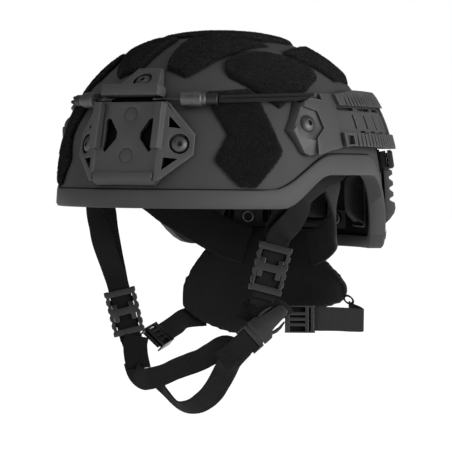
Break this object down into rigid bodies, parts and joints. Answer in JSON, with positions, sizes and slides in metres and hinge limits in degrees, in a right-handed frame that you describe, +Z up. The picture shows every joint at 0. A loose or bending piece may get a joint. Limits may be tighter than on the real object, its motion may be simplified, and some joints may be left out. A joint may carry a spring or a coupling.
{
  "type": "combat helmet",
  "caption": "Grey high-cut combat helmet with front shroud, side rails, bungee lanyards, loop patches, pads and a chin harness with a nape pad.",
  "frame": {"origin": "centre of the head opening, on the plane of the front brim's edge", "axes": "+Z up through the crown, -Y forwards out of the wearer's face, +X towards the wearer's left"},
  "size_m": [0.2566, 0.2938, 0.3012],
  "materials": {
    "shell": "matte, faintly textured paint over a moulded composite",
    "loop": "fuzzy woven loop",
    "edge_rubber": "matte moulded rubber",
    "hardware": "satin grey",
    "mount_plastic": "fine moulded grain",
    "insert": "fine moulded grain",
    "black_plastic": "matte",
    "cord": "braided",
    "ferrule": "satin",
    "wire": "satin",
    "hook_disc": "matte",
    "pad_fabric": "brushed knit",
    "buckle_plastic": "satin moulded",
    "webbing": "woven"
  },
  "bodies": {
    "helmet": {"shell": "shell", "rim_trim": "edge_rubber", "loop_patch_crown": "loop", "loop_patch_front_l": "loop", "loop_patch_front_r": "loop", "loop_patch_upper_l": "loop", "loop_patch_upper_r": "loop", "loop_patch_side_l": "loop", "loop_patch_side_r": "loop", "loop_patch_rear_l": "loop", "loop_patch_rear_r": "loop", "shroud": "mount_plastic", "shroud_inserts": "insert", "shroud_screws": "hardware", "rail_l": "mount_plastic", "rail_r": "mount_plastic", "rail_screws": "hardware", "inner_nuts": "hardware", "strap_anchors": "hardware", "rear_bracket": "black_plastic", "link_strap": "webbing", "goggle_clip_l": "black_plastic", "goggle_clip_r": "black_plastic", "rear_bumper": "edge_rubber", "lanyard_cord_l": "cord", "lanyard_cord_r": "cord", "pad_fasteners": "hook_disc", "pad_crown": "pad_fabric", "pad_front": "pad_fabric", "pad_rear": "pad_fabric", "pad_temple_l": "pad_fabric", "pad_temple_r": "pad_fabric", "pad_rear_side_l": "pad_fabric", "pad_rear_side_r": "pad_fabric", "strap_front_l": "webbing", "strap_front_r": "webbing", "strap_rear_l": "webbing", "strap_rear_r": "webbing", "chin_strap_end": "webbing", "chin_strap_upper": "webbing", "chin_strap_lower": "webbing", "buckle_female": "buckle_plastic", "nape_pad": "pad_fabric", "nape_yoke_l": "pad_fabric", "nape_yoke_r": "pad_fabric", "nape_strap_l": "webbing", "nape_strap_r": "webbing", "nape_buckle_l": "buckle_plastic", "nape_buckle_r": "buckle_plastic"},
    "buckle_insert": {"buckle_male": "buckle_plastic"},
    "prong_upper": {"buckle_prong_upper": "buckle_plastic"},
    "prong_lower": {"buckle_prong_lower": "buckle_plastic"},
    "adjuster_left": {"adjuster_l": "buckle_plastic"},
    "adjuster_right": {"adjuster_r": "buckle_plastic"},
    "lanyard_left": {"lanyard_ferrule_l": "ferrule", "lanyard_hook_l": "wire"},
    "lanyard_right": {"lanyard_ferrule_r": "ferrule", "lanyard_hook_r": "wire"}
  },
  "joints": [
    {"name": "chin_buckle_release", "type": "slide", "parent": "helmet", "child": "buckle_insert", "axis": [-0.6343, -0.3872, -0.6691], "range_m": [0, 0.026], "deforming": ["chin_strap_upper", "chin_strap_lower"]},
    {"name": "prong_upper_squeeze", "type": "hinge", "parent": "buckle_insert", "child": "prong_upper", "pos_m": [0.07215, -0.07793, -0.0885], "axis": [0.521, -0.8536, 0], "range_deg": [-5, 0], "stiffness_Nm_per_rad": 0.002, "springref_deg": 2.86},
    {"name": "prong_lower_squeeze", "type": "hinge", "parent": "buckle_insert", "child": "prong_lower", "pos_m": [0.07969, -0.07333, -0.09831], "axis": [0.521, -0.8536, 0], "range_deg": [0, 5]},
    {"name": "adjuster_left_slide", "type": "slide", "parent": "helmet", "child": "adjuster_left", "axis": [0.2065, 0.126, 0.9703], "range_m": [-0.004, 0.004]},
    {"name": "adjuster_right_slide", "type": "slide", "parent": "helmet", "child": "adjuster_right", "axis": [-0.2065, -0.126, 0.9703], "range_m": [-0.004, 0.004]},
    {"name": "lanyard_left_unhook", "type": "slide", "parent": "helmet", "child": "lanyard_left", "axis": [0, -0.9774, 0.2113], "range_m": [0, 0.02], "stiffness_N_per_m": 40, "springref_m": -0.003, "deforming": ["lanyard_cord_l"]},
    {"name": "lanyard_right_unhook", "type": "slide", "parent": "helmet", "child": "lanyard_right", "axis": [0, -0.9774, 0.2113], "range_m": [0, 0.02], "stiffness_N_per_m": 40, "springref_m": -0.003, "deforming": ["lanyard_cord_r"]}
  ],
  "couplings": [
    {"joint": "prong_lower_squeeze", "follows": "prong_upper_squeeze", "ratio": -1}
  ]
}
